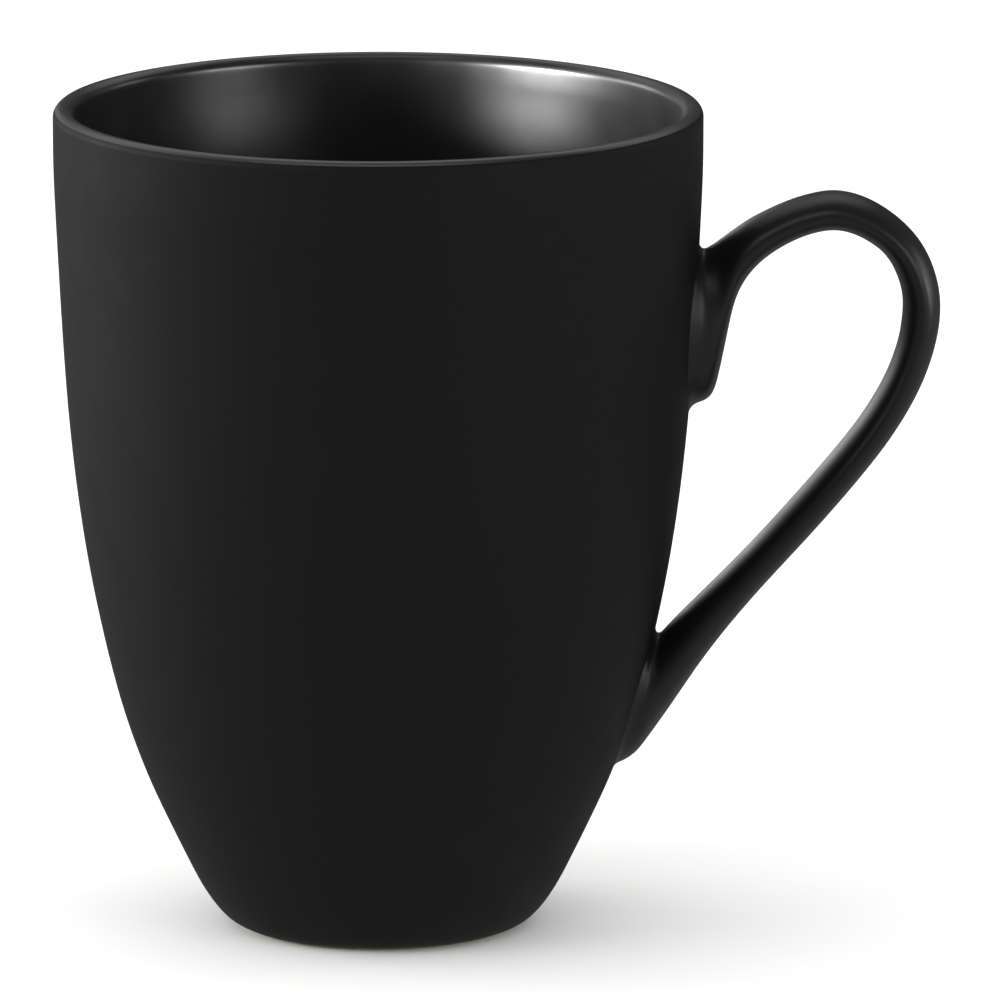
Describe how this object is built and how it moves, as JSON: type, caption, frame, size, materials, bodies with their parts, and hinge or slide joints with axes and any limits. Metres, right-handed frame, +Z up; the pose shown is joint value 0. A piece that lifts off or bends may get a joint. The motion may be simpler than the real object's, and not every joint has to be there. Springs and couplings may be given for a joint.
{
  "type": "mug",
  "caption": "Tall barrel-shaped stoneware mug with a slender looped handle, matte black outside and glossy black inside.",
  "frame": {"origin": "the mug's axis at the plane it stands on: the centre of the foot ring's face", "axes": "+Z up along the mug's axis, +X towards the handle"},
  "size_m": [0.1161, 0.085, 0.109],
  "materials": {
    "fired_stoneware": "bare, fine-grained fired clay",
    "fired_slip": "bare fired slip",
    "gloss_black_glaze": "gloss glaze",
    "matte_black_glaze": "matte glaze",
    "satin_black_glaze": "satin glaze"
  },
  "bodies": {
    "root": {"clay_body": "fired_stoneware", "clay_handle": "fired_stoneware", "upper_slip_joint": "fired_slip", "lower_slip_joint": "fired_slip", "interior_glaze": "gloss_black_glaze", "exterior_glaze": "matte_black_glaze", "handle_glaze": "satin_black_glaze"}
  },
  "joints": []
}
